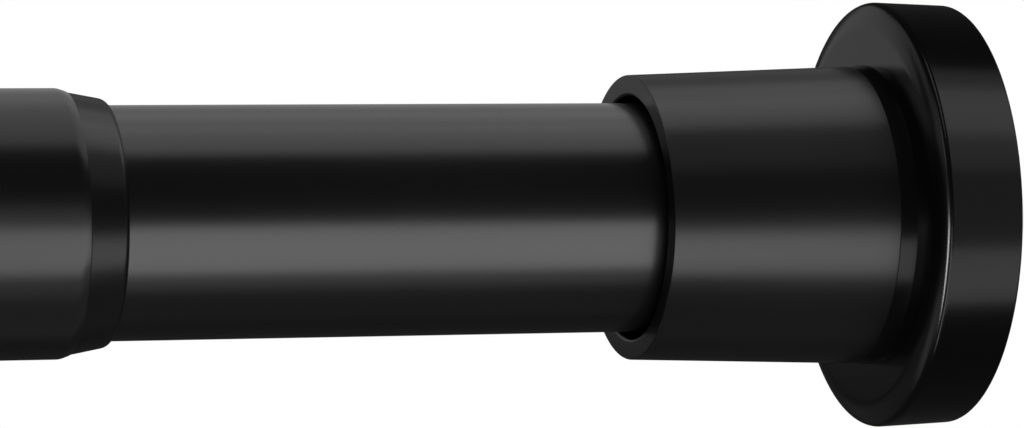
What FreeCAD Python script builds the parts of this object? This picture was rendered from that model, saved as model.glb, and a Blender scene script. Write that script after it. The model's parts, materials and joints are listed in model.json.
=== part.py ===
import FreeCAD
import Part
import math
import os

# Compact spring tension rod for a curtain, adjustable by telescoping and locked by twisting.
# The rod's axis is X. The origin is the centre of the left wall face, +X runs towards the sprung
# foot and +Z is up. Lengths are millimetres. Places marked w are distances from a foot's own wall
# face, so both feet share one set of sizes.

Vector = FreeCAD.Vector
AXIS_POINT = Vector(0, 0, 0)
AXIS = Vector(1, 0, 0)

# The rod as a whole, at rest
ROD_LENGTH = 460.0
EXPOSED_TUBE = 51.5
TELESCOPE_OUT = 150.0
FOOT_TRAVEL = 12.0

# Tubes
OUTER_TUBE_RADIUS = 12.6
OUTER_TUBE_WALL = 0.8
INNER_TUBE_RADIUS = 11.0
INNER_TUBE_WALL = 0.7
TUBE_EDGE_BREAK = 0.2
RIM_ROLL_LENGTH = 0.8
RIM_ROLL_DEPTH = 0.28
RIM_ROLL_BEND = 1.5

# Clearances
SEAT_CLEARANCE = 0.05
RUNNING_CLEARANCE = 0.08
END_PLAY = 0.1
STOP_CLEARANCE = 0.5
SLEEVE_RUNNING_GAP = 0.7
FIXED_SLEEVE_GAP = 0.1

# Low ribs that centre a moulded plug in its tube
CRUSH_RIB_COUNT = 6
CRUSH_RIB_WIDTH = 1.2
CRUSH_RIB_HEIGHT = 0.03
CRUSH_RIB_SETBACK = 2.0

# Collar that steps the outer tube down to the inner tube
COLLAR_INSERT = 14.0
NOSE_LENGTH = 3.7
NOSE_STEP = 0.08
NOSE_TIP_RISE = 0.7
NOSE_ROUND = 0.6

# Feet, shared by both ends
PAD_THICKNESS = 1.0
PAD_PROUD = 0.3
PAD_RIM = 1.35
PAD_EDGE_ROUND = 0.15
PAD_GROOVE_RADII = (8.0, 12.0, 16.0)
PAD_GROOVE_WIDTH = 1.4
PAD_GROOVE_DEPTH = 0.4
FLANGE_FRONT_RADIUS = 20.75
FLANGE_BACK_RADIUS = 20.45
FLANGE_RIM_WIDTH = 7.35
FLANGE_CROWN = 1.0
FLANGE_CROWN_RUN = 1.8
FLANGE_CROWN_BEND = 5.0
FLANGE_FRONT_ROUND = 0.5
FLANGE_BACK_ROUND = 0.3
FLANGE_SKIN = 2.6
FLANGE_RIM_WALL = 2.1
FLANGE_HUB_WALL = 2.4
FLANGE_RIB_COUNT = 6
FLANGE_RIB_WIDTH = 1.6
NECK_LENGTH = 1.55
NECK_STEP = 0.15
NECK_FLARE = 0.3
SPIGOT_LENGTH = 3.5
SPIGOT_ROUND = 0.4
SLEEVE_LENGTH = 22.55
SLEEVE_WALL = 2.0
SLEEVE_TAPER = 0.78
SLEEVE_MOUTH_ROUND = 0.5
SLEEVE_MOUTH_LEAD = 0.3
HUB_SEAT_RADIUS = 4.55
HUB_FLOOR = 1.6

# Foot screws and their washers
SCREW_RADIUS = 2.0
SCREW_LENGTH = 12.0
SCREW_HOLE_DEPTH = 13.0
SCREW_HEAD_RADIUS = 3.6
SCREW_HEAD_HEIGHT = 2.2
SCREW_HEAD_ROUND = 0.9
SCREW_POINT = 0.6
SCREW_RECESS_WIDTH = 0.9
SCREW_RECESS_SPAN = 3.8
SCREW_RECESS_DEPTH = 1.2
SCREW_POCKET_RADIUS = 5.0
SCREW_POCKET_DEPTH = 3.2
SCREW_HOLE_CLEARANCE = 0.15
WASHER_RADIUS = 4.7
WASHER_THICKNESS = 0.8

# Plug in the outer tube's fixed end
END_PLUG_LENGTH = 22.0
PLUG_WALL = 2.0
PLUG_HUB_RADIUS = 5.4
PLUG_WEB = 5.0
PLUG_RIB_COUNT = 4
PLUG_RIB_WIDTH = 1.5

# Sprung foot
FOOT_END_GAP = 1.2
BUSH_LENGTH = 12.0
BUSH_LIP = 1.0
BUSH_LIP_STEP = 0.1
BUSH_WEB = 3.0
BUSH_HUB_WALL = 1.8
BUSH_RIM_WALL = 1.9
PLUNGER_RADIUS = 4.5
PILOT_RADIUS = 3.0
PILOT_LENGTH = 8.0
PILOT_CHAMFER = 0.8
CLIP_THICKNESS = 0.8
CLIP_RADIUS = 5.2
CLIP_GROOVE_DEPTH = 0.6
CLIP_OPENING = 3.6
SPRING_WASHER_THICKNESS = 1.5
SPRING_WASHER_GAP = 0.4
SPRING_LENGTH = 34.0
SPRING_MEAN_RADIUS = 8.0
SPRING_WIRE = 1.8
SPRING_TURNS = 8
SPRING_CLOSED_PITCH = 1.95
SPRING_STEPS_PER_TURN = 14
SPRING_WIRE_SIDES = 8
STOP_PLUG_LENGTH = 14.0
STOP_BOSS_LENGTH = 4.0
STOP_BOSS_GAP = 0.3

# Flush pins that hold the plug and the bush in the inner tube
PIN_RADIUS = 1.0
PIN_LENGTH = 2.3
BUSH_PIN_INSET = 2.4
BUSH_PIN_COUNT = 3
LOCK_PIN_INSET = 6.0
LOCK_PIN_COUNT = 2

# Twist lock
LOCK_PITCH = 1.5
LOCK_TURNS = 1.5
SPINDLE_RADIUS = 3.0
SPINDLE_CHAMFER = 0.5
SPINDLE_IN_PLUG = 14.0
SPINDLE_PROUD = 1.0
LOCK_PLUG_LENGTH = 20.0
LOCK_PLUG_HEAD = 2.0
LOCK_WASHER_THICKNESS = 1.0
LOCK_WASHER_RADIUS = 8.0
JAW_LENGTH = 24.0
JAW_BASE = 5.0
JAW_MOUTH_RADIUS = 8.8
JAW_TAPER_DEPTH = 16.0
JAW_TAPER_ANGLE = math.radians(14.0)
JAW_EDGE_BREAK = 0.5
JAW_FINGERS = 4
JAW_SLOT_WIDTH = 2.0
JAW_SLOT_LENGTH = 17.0
JAW_GROOVE_COUNT = 5
JAW_GROOVE_SPACING = 2.6
JAW_GROOVE_WIDTH = 1.0
JAW_GROOVE_DEPTH = 0.35
JAW_GROOVE_START = 2.5
CONE_LENGTH = 14.0
CONE_PROUD = 2.0
CONE_CLEARANCE = 0.1
WING_LENGTH = 10.0
WING_STEP = 1.0
WING_CLEARANCE = 0.15
NUT_FLATS = 10.0
NUT_THICKNESS = 4.0
NUT_GAP = 0.75

# Radii worked out from the sizes above
OUTER_BORE = OUTER_TUBE_RADIUS - OUTER_TUBE_WALL
INNER_BORE = INNER_TUBE_RADIUS - INNER_TUBE_WALL
COLLAR_BORE = INNER_TUBE_RADIUS + RUNNING_CLEARANCE
PLUG_IN_INNER = INNER_BORE - SEAT_CLEARANCE
SPRUNG_SLEEVE_BORE = INNER_TUBE_RADIUS + SLEEVE_RUNNING_GAP
FIXED_SLEEVE_BORE = OUTER_TUBE_RADIUS + FIXED_SLEEVE_GAP
PAD_RADIUS = FLANGE_BACK_RADIUS - PAD_RIM
SPRING_INSIDE = SPRING_MEAN_RADIUS - SPRING_WIRE / 2

# Stations along a foot, from its wall face
W_BACK = PAD_PROUD
W_RIM = W_BACK + FLANGE_RIM_WIDTH
W_FACE = W_RIM + FLANGE_CROWN
W_NECK = W_FACE + NECK_LENGTH
W_SPIGOT = W_NECK + SPIGOT_LENGTH
W_MOUTH = W_NECK + SLEEVE_LENGTH
W_SCREW_SEAT = PAD_THICKNESS + SCREW_POCKET_DEPTH
W_HUB_FLOOR = W_SCREW_SEAT + HUB_FLOOR

# Stations of the sprung foot's inside, from its wall face
W_BUSH_LIP = W_SPIGOT + FOOT_TRAVEL + FOOT_END_GAP
W_TUBE_END = W_BUSH_LIP + BUSH_LIP
W_BUSH_END = W_TUBE_END + BUSH_LENGTH
W_SHOULDER = W_BUSH_END + END_PLAY
W_SPRING = W_SHOULDER + SPRING_WASHER_THICKNESS
W_CLIP = W_SPRING + END_PLAY
W_STOP = W_SPRING + SPRING_LENGTH
W_STOP_END = W_STOP + STOP_PLUG_LENGTH

# Stations along the rod
X_NOSE = ROD_LENGTH - W_MOUTH - EXPOSED_TUBE
X_RIM = X_NOSE - NOSE_LENGTH
X_COLLAR = X_RIM - COLLAR_INSERT
X_JAW_END = X_COLLAR - STOP_CLEARANCE - TELESCOPE_OUT
X_JAW = X_JAW_END - JAW_LENGTH
X_LOCK_WASHER = X_JAW_END + END_PLAY
X_PLUG_HEAD = X_LOCK_WASHER + LOCK_WASHER_THICKNESS
X_INNER = X_PLUG_HEAD + LOCK_PLUG_HEAD
X_INNER_END = ROD_LENGTH - W_TUBE_END
X_CONE = X_JAW - CONE_PROUD
X_NUT_FACE = X_CONE - LOCK_PITCH * LOCK_TURNS - NUT_GAP
X_NUT = X_NUT_FACE - NUT_THICKNESS
X_SPINDLE = X_NUT - SPINDLE_PROUD


def tangent_arc(before, corner, after, radius):
    """Arc that rounds one corner of an outline."""
    back = (before - corner).normalize()
    ahead = (after - corner).normalize()
    half_angle = back.getAngle(ahead) / 2
    inward = (back + ahead).normalize()
    reach = radius / math.tan(half_angle)
    centre = corner + inward * (radius / math.sin(half_angle))
    return Part.Arc(corner + back * reach, centre - inward * radius, corner + ahead * reach)


def turned(corners):
    """Solid of revolution about the rod's axis. Each corner is (x, radius) or (x, radius, rounding)."""
    points = [Vector(corner[0], 0, corner[1]) for corner in corners]
    starts = []
    ends = []
    edges = []
    for index, corner in enumerate(corners):
        if len(corner) == 3:
            following = points[(index + 1) % len(points)]
            arc = tangent_arc(points[index - 1], points[index], following, corner[2])
            edges.append(arc.toShape())
            starts.append(arc.StartPoint)
            ends.append(arc.EndPoint)
        else:
            starts.append(points[index])
            ends.append(points[index])
    for index, end in enumerate(ends):
        start = starts[(index + 1) % len(starts)]
        if end.distanceToPoint(start) > 1e-6:
            edges.append(Part.makeLine(end, start))
    wire = Part.Wire(Part.__sortEdges__(edges))
    return Part.Face(wire).revolve(AXIS_POINT, AXIS, 360)


def ring(x_start, x_end, inside, outside):
    """Plain turned ring."""
    return turned([(x_start, inside), (x_start, outside), (x_end, outside), (x_end, inside)])


def spoke(x_start, x_end, r_start, r_end, width):
    """Radial block on the +Z side of the axis."""
    corner = Vector(x_start, -width / 2, r_start)
    return Part.makeBox(x_end - x_start, width, r_end - r_start, corner)


def around(shape, count):
    """Copies of a shape spaced evenly about the rod's axis."""
    copies = []
    for number in range(count):
        copy = shape.copy()
        copy.rotate(AXIS_POINT, AXIS, 360 * number / count)
        copies.append(copy)
    return copies


def at_sprung_end(shape):
    """Turns a shape drawn from the left wall face round to the right wall face."""
    placed = shape.copy()
    placed.rotate(AXIS_POINT, Vector(0, 0, 1), 180)
    placed.translate(Vector(ROD_LENGTH, 0, 0))
    return placed


def crush_ribs(x_start, x_end, surface_radius):
    """Low ribs along a moulded surface, clear of its ends."""
    rib = spoke(x_start + CRUSH_RIB_SETBACK, x_end - CRUSH_RIB_SETBACK,
                surface_radius - CRUSH_RIB_WIDTH / 2, surface_radius + CRUSH_RIB_HEIGHT, CRUSH_RIB_WIDTH)
    return around(rib, CRUSH_RIB_COUNT)


def plug_ribs(x_start, x_end, wall_inside):
    """Ribs that join a cored plug's hub to its wall."""
    hub_overlap = PLUG_HUB_RADIUS - PLUG_RIB_WIDTH / 2
    wall_overlap = wall_inside + PLUG_WALL / 2
    return around(spoke(x_start, x_end, hub_overlap, wall_overlap, PLUG_RIB_WIDTH), PLUG_RIB_COUNT)


def pin_holes(x_centre, count, tube_radius):
    """Radial drills for the flush pins."""
    inside = Vector(x_centre, 0, tube_radius - PIN_LENGTH - 2 * SEAT_CLEARANCE)
    drill = Part.makeCylinder(PIN_RADIUS + SEAT_CLEARANCE, PIN_LENGTH + 1, inside, Vector(0, 0, 1))
    return around(drill, count)


def flush_pins(x_centre, count, tube_radius):
    """Pins that end just under the tube's surface."""
    inside = Vector(x_centre, 0, tube_radius - PIN_LENGTH - SEAT_CLEARANCE)
    pin = Part.makeCylinder(PIN_RADIUS, PIN_LENGTH, inside, Vector(0, 0, 1))
    return Part.makeCompound(around(pin, count))


def outer_tube():
    """Steel tube whose far edge is rolled in against the collar."""
    return turned([
        (W_SPIGOT, OUTER_BORE),
        (W_SPIGOT, OUTER_TUBE_RADIUS - TUBE_EDGE_BREAK),
        (W_SPIGOT + TUBE_EDGE_BREAK, OUTER_TUBE_RADIUS),
        (X_RIM - RIM_ROLL_LENGTH, OUTER_TUBE_RADIUS, RIM_ROLL_BEND),
        (X_RIM, OUTER_TUBE_RADIUS - RIM_ROLL_DEPTH),
        (X_RIM, OUTER_BORE),
    ])


def tube_collar():
    """Moulded reducer: a thin bush inside the outer tube with a short tapered nose."""
    insert_radius = OUTER_BORE - SEAT_CLEARANCE
    body = turned([
        (X_COLLAR, COLLAR_BORE),
        (X_COLLAR, insert_radius),
        (X_RIM, insert_radius),
        (X_RIM, OUTER_TUBE_RADIUS - RIM_ROLL_DEPTH - NOSE_STEP),
        (X_NOSE, INNER_TUBE_RADIUS + NOSE_TIP_RISE, NOSE_ROUND),
        (X_NOSE, COLLAR_BORE),
    ])
    return body.multiFuse(crush_ribs(X_COLLAR, X_RIM, insert_radius)).removeSplitter()


def foot_sleeve(bore):
    """Tapered cover over the tube's end. It is widest at the neck."""
    mouth_radius = bore + SLEEVE_WALL
    return turned([
        (W_NECK, bore),
        (W_NECK, mouth_radius + SLEEVE_TAPER),
        (W_MOUTH, mouth_radius, SLEEVE_MOUTH_ROUND),
        (W_MOUTH, bore + SLEEVE_MOUTH_LEAD),
        (W_MOUTH - SLEEVE_MOUTH_LEAD, bore),
    ])


def foot_flange(sleeve_bore):
    """Moulded disc with a crowned face, a flared neck behind the sleeve's end and a cored, ribbed back.

    The pad is let into a shallow recess in the back."""
    neck_radius = sleeve_bore + SLEEVE_WALL + SLEEVE_TAPER - NECK_STEP
    screw_hole = SCREW_RADIUS + SCREW_HOLE_CLEARANCE
    body = turned([
        (PAD_THICKNESS, SCREW_POCKET_RADIUS),
        (PAD_THICKNESS, PAD_RADIUS + SEAT_CLEARANCE),
        (W_BACK, PAD_RADIUS + SEAT_CLEARANCE),
        (W_BACK, FLANGE_BACK_RADIUS, FLANGE_BACK_ROUND),
        (W_RIM, FLANGE_FRONT_RADIUS, FLANGE_FRONT_ROUND),
        (W_FACE, FLANGE_FRONT_RADIUS - FLANGE_CROWN_RUN, FLANGE_CROWN_BEND),
        (W_FACE, neck_radius + NECK_FLARE),
        (W_NECK, neck_radius),
        (W_NECK, sleeve_bore - SEAT_CLEARANCE),
        (W_SPIGOT, sleeve_bore - SEAT_CLEARANCE, SPIGOT_ROUND),
        (W_SPIGOT, HUB_SEAT_RADIUS),
        (W_HUB_FLOOR, HUB_SEAT_RADIUS),
        (W_HUB_FLOOR, screw_hole),
        (W_SCREW_SEAT, screw_hole),
        (W_SCREW_SEAT, SCREW_POCKET_RADIUS),
    ])
    core_inside = SCREW_POCKET_RADIUS + FLANGE_HUB_WALL
    core_outside = FLANGE_BACK_RADIUS - FLANGE_RIM_WALL
    core = ring(PAD_THICKNESS, W_RIM - FLANGE_SKIN, core_inside, core_outside)
    rib = spoke(PAD_THICKNESS, W_RIM - FLANGE_SKIN, 0, core_outside + 1, FLANGE_RIB_WIDTH)
    pockets = core.cut(around(rib, FLANGE_RIB_COUNT))
    return body.cut(pockets)


def foot_pad():
    """Rubber disc let into the flange's back, with grip grooves towards the wall."""
    disc = turned([
        (0, 0),
        (0, PAD_RADIUS, PAD_EDGE_ROUND),
        (PAD_THICKNESS, PAD_RADIUS),
        (PAD_THICKNESS, 0),
    ])
    grooves = []
    for radius in PAD_GROOVE_RADII:
        outside = radius + PAD_GROOVE_WIDTH / 2
        grooves.append(ring(-1, PAD_GROOVE_DEPTH, radius - PAD_GROOVE_WIDTH / 2, outside))
    return disc.cut(grooves)


def foot_screw():
    """Pan-head screw that draws the foot onto the rod, with a cross recess."""
    under_head = W_SCREW_SEAT - WASHER_THICKNESS
    head_top = under_head - SCREW_HEAD_HEIGHT
    tip = under_head + SCREW_LENGTH
    shank_radius = SCREW_RADIUS - SEAT_CLEARANCE
    body = turned([
        (head_top, 0),
        (head_top, SCREW_HEAD_RADIUS, SCREW_HEAD_ROUND),
        (under_head, SCREW_HEAD_RADIUS),
        (under_head, shank_radius),
        (tip - SCREW_POINT, shank_radius),
        (tip, shank_radius - SCREW_POINT),
        (tip, 0),
    ])
    bar = spoke(head_top - 1, head_top + SCREW_RECESS_DEPTH,
                -SCREW_RECESS_SPAN / 2, SCREW_RECESS_SPAN / 2, SCREW_RECESS_WIDTH)
    cross_bar = bar.copy()
    cross_bar.rotate(AXIS_POINT, AXIS, 90)
    return body.cut([bar, cross_bar])


def foot_washer():
    """Flat washer under the screw's head."""
    screw_hole = SCREW_RADIUS + SCREW_HOLE_CLEARANCE
    return ring(W_SCREW_SEAT - WASHER_THICKNESS, W_SCREW_SEAT, screw_hole, WASHER_RADIUS)


def fixed_end_plug():
    """Moulded plug in the outer tube's fixed end, with a nose for the flange and a cored, ribbed back."""
    body_end = W_SPIGOT + END_PLUG_LENGTH
    body_radius = OUTER_BORE - SEAT_CLEARANCE
    nose_radius = HUB_SEAT_RADIUS - SEAT_CLEARANCE
    web_end = W_SPIGOT + PLUG_WEB
    plug = turned([
        (W_HUB_FLOOR, SCREW_RADIUS),
        (W_HUB_FLOOR, nose_radius),
        (W_SPIGOT, nose_radius),
        (W_SPIGOT, body_radius),
        (body_end, body_radius),
        (body_end, body_radius - PLUG_WALL),
        (web_end, body_radius - PLUG_WALL),
        (web_end, PLUG_HUB_RADIUS),
        (body_end, PLUG_HUB_RADIUS),
        (body_end, 0),
        (W_HUB_FLOOR + SCREW_HOLE_DEPTH, 0),
        (W_HUB_FLOOR + SCREW_HOLE_DEPTH, SCREW_RADIUS),
    ])
    ribs = plug_ribs(web_end - PLUG_RIB_WIDTH, body_end - PLUG_RIB_WIDTH, body_radius - PLUG_WALL)
    return plug.multiFuse(ribs + crush_ribs(W_SPIGOT, body_end, body_radius)).removeSplitter()


def inner_tube():
    """Thin steel tube, drilled near both ends for the flush pins."""
    tube = turned([
        (X_INNER, INNER_BORE),
        (X_INNER, INNER_TUBE_RADIUS - TUBE_EDGE_BREAK),
        (X_INNER + TUBE_EDGE_BREAK, INNER_TUBE_RADIUS),
        (X_INNER_END - TUBE_EDGE_BREAK, INNER_TUBE_RADIUS),
        (X_INNER_END, INNER_TUBE_RADIUS - TUBE_EDGE_BREAK),
        (X_INNER_END, INNER_BORE),
    ])
    lock_drills = pin_holes(X_INNER + LOCK_PIN_INSET, LOCK_PIN_COUNT, INNER_TUBE_RADIUS)
    bush_drills = pin_holes(X_INNER_END - BUSH_PIN_INSET, BUSH_PIN_COUNT, INNER_TUBE_RADIUS)
    return tube.cut(lock_drills + bush_drills)


def guide_bush():
    """Bush that closes the inner tube's end and guides the plunger. It is cored from outside."""
    plunger_bore = PLUNGER_RADIUS + RUNNING_CLEARANCE
    hub_radius = plunger_bore + BUSH_HUB_WALL
    core_radius = PLUG_IN_INNER - BUSH_RIM_WALL
    core_end = W_BUSH_END - BUSH_WEB
    lip_radius = INNER_TUBE_RADIUS - BUSH_LIP_STEP
    bush = at_sprung_end(turned([
        (W_BUSH_LIP, plunger_bore),
        (W_BUSH_LIP, hub_radius),
        (core_end, hub_radius),
        (core_end, core_radius),
        (W_BUSH_LIP, core_radius),
        (W_BUSH_LIP, lip_radius),
        (W_TUBE_END, lip_radius),
        (W_TUBE_END, PLUG_IN_INNER),
        (W_BUSH_END, PLUG_IN_INNER),
        (W_BUSH_END, plunger_bore),
    ]))
    return bush.cut(pin_holes(X_INNER_END - BUSH_PIN_INSET, BUSH_PIN_COUNT, INNER_TUBE_RADIUS))


def spring_stop_plug():
    """Pressed plug that carries the spring's inner end on a short boss."""
    boss_radius = SPRING_INSIDE - STOP_BOSS_GAP
    boss_end = W_STOP - STOP_BOSS_LENGTH
    cup_radius = PLUG_IN_INNER - PLUG_WALL
    return at_sprung_end(turned([
        (boss_end, 0),
        (boss_end, boss_radius - TUBE_EDGE_BREAK),
        (boss_end + TUBE_EDGE_BREAK, boss_radius),
        (W_STOP, boss_radius),
        (W_STOP, PLUG_IN_INNER),
        (W_STOP_END, PLUG_IN_INNER),
        (W_STOP_END, cup_radius),
        (W_STOP + PLUG_WEB, cup_radius),
        (W_STOP + PLUG_WEB, 0),
    ]))


def foot_spring():
    """Compression spring with closed ends. Its round wire is drawn with flats of the same area."""
    flat_angle = 2 * math.pi / SPRING_WIRE_SIDES
    wire_area = math.pi * SPRING_WIRE ** 2 / 4
    corner_radius = math.sqrt(2 * wire_area / (SPRING_WIRE_SIDES * math.sin(flat_angle)))
    first_centre = W_SPRING + corner_radius + SEAT_CLEARANCE
    closed_rise = SPRING_CLOSED_PITCH
    active_length = SPRING_LENGTH - 2 * (corner_radius + SEAT_CLEARANCE) - 2 * closed_rise
    active_rise = active_length / (SPRING_TURNS - 2)

    def centre(turn):
        closed_turns = min(turn, 1) + max(turn - (SPRING_TURNS - 1), 0)
        active_turns = turn - closed_turns
        along = first_centre + closed_turns * closed_rise + active_turns * active_rise
        angle = 2 * math.pi * turn
        return Vector(along, SPRING_MEAN_RADIUS * math.cos(angle), SPRING_MEAN_RADIUS * math.sin(angle))

    steps = SPRING_TURNS * SPRING_STEPS_PER_TURN
    points = [centre(step / SPRING_STEPS_PER_TURN) for step in range(steps + 1)]
    path = Part.Wire(Part.makePolygon(points).Edges)
    circle = Part.makeCircle(corner_radius, points[0], points[1] - points[0])
    corners = [circle.valueAt(flat_angle * side) for side in range(SPRING_WIRE_SIDES)]
    section = Part.Wire(Part.makePolygon(corners + corners[:1]).Edges)
    return at_sprung_end(path.makePipeShell([section], True, False, 1))


def spring_washer():
    """Washer between the spring and the guide bush. The plunger turns in it."""
    outside = INNER_BORE - SPRING_WASHER_GAP
    return at_sprung_end(ring(W_SHOULDER, W_SPRING, PILOT_RADIUS + SEAT_CLEARANCE, outside))


def plunger_rod():
    """Stepped rod between the flange's hub and the spring washer, with a clip groove."""
    rod_radius = min(PLUNGER_RADIUS, HUB_SEAT_RADIUS - SEAT_CLEARANCE)
    groove_radius = PILOT_RADIUS - CLIP_GROOVE_DEPTH
    groove_end = W_CLIP + CLIP_THICKNESS + END_PLAY
    tip = W_SPRING + PILOT_LENGTH
    hole_end = W_HUB_FLOOR + SCREW_HOLE_DEPTH
    return at_sprung_end(turned([
        (W_HUB_FLOOR, SCREW_RADIUS),
        (W_HUB_FLOOR, rod_radius),
        (W_SHOULDER, rod_radius),
        (W_SHOULDER, PILOT_RADIUS),
        (W_CLIP, PILOT_RADIUS),
        (W_CLIP, groove_radius),
        (groove_end, groove_radius),
        (groove_end, PILOT_RADIUS),
        (tip - PILOT_CHAMFER, PILOT_RADIUS),
        (tip, PILOT_RADIUS - PILOT_CHAMFER),
        (tip, 0),
        (hole_end, 0),
        (hole_end, SCREW_RADIUS),
    ]))


def plunger_clip():
    """Open retaining clip that keeps the plunger from leaving the washer."""
    inside = PILOT_RADIUS - CLIP_GROOVE_DEPTH + SEAT_CLEARANCE
    start = W_CLIP + SEAT_CLEARANCE
    disc = ring(start, start + CLIP_THICKNESS, inside, CLIP_RADIUS)
    opening = spoke(start, start + CLIP_THICKNESS, 0, CLIP_RADIUS, CLIP_OPENING)
    return at_sprung_end(disc.cut(opening))


def lock_plug():
    """Headed plug pinned in the inner tube's hidden end. It carries the spindle."""
    head_radius = INNER_TUBE_RADIUS - BUSH_LIP_STEP
    end = X_INNER + LOCK_PLUG_LENGTH
    web_end = X_INNER + PLUG_WEB
    cup_radius = PLUG_IN_INNER - PLUG_WALL
    spindle_seat = SPINDLE_RADIUS + SEAT_CLEARANCE
    body = turned([
        (X_PLUG_HEAD, spindle_seat),
        (X_PLUG_HEAD, head_radius),
        (X_INNER, head_radius),
        (X_INNER, PLUG_IN_INNER),
        (end, PLUG_IN_INNER),
        (end, cup_radius),
        (web_end, cup_radius),
        (web_end, PLUG_HUB_RADIUS),
        (end, PLUG_HUB_RADIUS),
        (end, 0),
        (X_INNER + SPINDLE_IN_PLUG, 0),
        (X_INNER + SPINDLE_IN_PLUG, spindle_seat),
    ])
    plug = body.multiFuse(plug_ribs(web_end - PLUG_RIB_WIDTH, end - PLUG_RIB_WIDTH, cup_radius)).removeSplitter()
    return plug.cut(pin_holes(X_INNER + LOCK_PIN_INSET, LOCK_PIN_COUNT, INNER_TUBE_RADIUS))


def lock_spindle():
    """Steel spindle that turns with the inner tube. Its fine thread is drawn plain."""
    end = X_INNER + SPINDLE_IN_PLUG - SEAT_CLEARANCE
    return turned([
        (X_SPINDLE, 0),
        (X_SPINDLE, SPINDLE_RADIUS - SPINDLE_CHAMFER),
        (X_SPINDLE + SPINDLE_CHAMFER, SPINDLE_RADIUS),
        (end, SPINDLE_RADIUS),
        (end, 0),
    ])


def lock_thrust_washer():
    """Washer between the jaw and the plug's head."""
    inside = SPINDLE_RADIUS + SEAT_CLEARANCE
    return ring(X_LOCK_WASHER, X_PLUG_HEAD, inside, LOCK_WASHER_RADIUS)


def lock_jaw():
    """Slotted collet whose fingers are spread against the outer tube by the cone."""
    outside = OUTER_BORE - RUNNING_CLEARANCE
    bore = SPINDLE_RADIUS + RUNNING_CLEARANCE
    throat = JAW_MOUTH_RADIUS - JAW_TAPER_DEPTH * math.tan(JAW_TAPER_ANGLE)
    body = turned([
        (X_JAW, JAW_MOUTH_RADIUS),
        (X_JAW, outside - JAW_EDGE_BREAK),
        (X_JAW + JAW_EDGE_BREAK, outside),
        (X_JAW_END - JAW_EDGE_BREAK, outside),
        (X_JAW_END, outside - JAW_EDGE_BREAK),
        (X_JAW_END, bore),
        (X_JAW_END - JAW_BASE, bore),
        (X_JAW_END - JAW_BASE, throat),
        (X_JAW + JAW_TAPER_DEPTH, throat),
    ])
    slot = spoke(X_JAW, X_JAW + JAW_SLOT_LENGTH, 0, outside + 1, JAW_SLOT_WIDTH)
    cuts = around(slot, JAW_FINGERS)
    for number in range(JAW_GROOVE_COUNT):
        start = X_JAW + JAW_GROOVE_START + number * JAW_GROOVE_SPACING
        cuts.append(ring(start, start + JAW_GROOVE_WIDTH, outside - JAW_GROOVE_DEPTH, outside + 1))
    return body.cut(cuts)


def cone_radius(x):
    """Radius of the lock cone where it lies inside the jaw's taper."""
    clearance = CONE_CLEARANCE / math.cos(JAW_TAPER_ANGLE)
    return JAW_MOUTH_RADIUS - (x - X_JAW) * math.tan(JAW_TAPER_ANGLE) - clearance


def lock_cone():
    """Threaded cone with a wing in each of the jaw's slots, so that it slides and can't turn."""
    end = X_CONE + CONE_LENGTH
    bore = SPINDLE_RADIUS + SEAT_CLEARANCE
    body = turned([
        (X_CONE, bore),
        (X_CONE, cone_radius(X_CONE)),
        (end, cone_radius(end)),
        (end, bore),
    ])
    wing_radius = OUTER_BORE - RUNNING_CLEARANCE - WING_STEP
    wing_width = JAW_SLOT_WIDTH - 2 * WING_CLEARANCE
    wing_root = (bore + cone_radius(end)) / 2
    wing = spoke(X_CONE, X_CONE + WING_LENGTH, wing_root, wing_radius, wing_width)
    return body.multiFuse(around(wing, JAW_FINGERS)).removeSplitter()


def lock_end_nut():
    """Hexagonal nut that keeps the cone on the spindle."""
    corner_radius = NUT_FLATS / 2 / math.cos(math.pi / 6)
    corners = []
    for number in range(7):
        angle = math.pi / 3 * number
        corners.append(Vector(X_NUT, corner_radius * math.cos(angle), corner_radius * math.sin(angle)))
    hexagon = Part.Face(Part.makePolygon(corners)).extrude(Vector(NUT_THICKNESS, 0, 0))
    hole_start = Vector(X_NUT, 0, 0)
    return hexagon.cut(Part.makeCylinder(SPINDLE_RADIUS + SEAT_CLEARANCE, NUT_THICKNESS, hole_start, AXIS))


def all_parts():
    """Every piece of the rod by its node name."""
    return {
        "outer_tube": outer_tube(),
        "tube_collar": tube_collar(),
        "fixed_end_plug": fixed_end_plug(),
        "fixed_foot_sleeve": foot_sleeve(FIXED_SLEEVE_BORE),
        "fixed_foot_flange": foot_flange(FIXED_SLEEVE_BORE),
        "fixed_foot_pad": foot_pad(),
        "fixed_foot_screw": foot_screw(),
        "fixed_foot_washer": foot_washer(),
        "inner_tube": inner_tube(),
        "guide_bush": guide_bush(),
        "guide_bush_pins": flush_pins(X_INNER_END - BUSH_PIN_INSET, BUSH_PIN_COUNT, INNER_TUBE_RADIUS),
        "spring_stop_plug": spring_stop_plug(),
        "foot_spring": foot_spring(),
        "spring_washer": spring_washer(),
        "plunger_rod": plunger_rod(),
        "plunger_clip": plunger_clip(),
        "sprung_foot_sleeve": at_sprung_end(foot_sleeve(SPRUNG_SLEEVE_BORE)),
        "sprung_foot_flange": at_sprung_end(foot_flange(SPRUNG_SLEEVE_BORE)),
        "sprung_foot_pad": at_sprung_end(foot_pad()),
        "sprung_foot_screw": at_sprung_end(foot_screw()),
        "sprung_foot_washer": at_sprung_end(foot_washer()),
        "lock_plug": lock_plug(),
        "lock_plug_pins": flush_pins(X_INNER + LOCK_PIN_INSET, LOCK_PIN_COUNT, INNER_TUBE_RADIUS),
        "lock_spindle": lock_spindle(),
        "lock_thrust_washer": lock_thrust_washer(),
        "lock_jaw": lock_jaw(),
        "lock_cone": lock_cone(),
        "lock_end_nut": lock_end_nut(),
    }


def write_parts():
    """Writes one STEP file for each piece."""
    os.makedirs("parts", exist_ok=True)
    for name, shape in all_parts().items():
        shape.exportStep("parts/" + name + ".step")


write_parts()
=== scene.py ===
import json
import math

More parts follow.
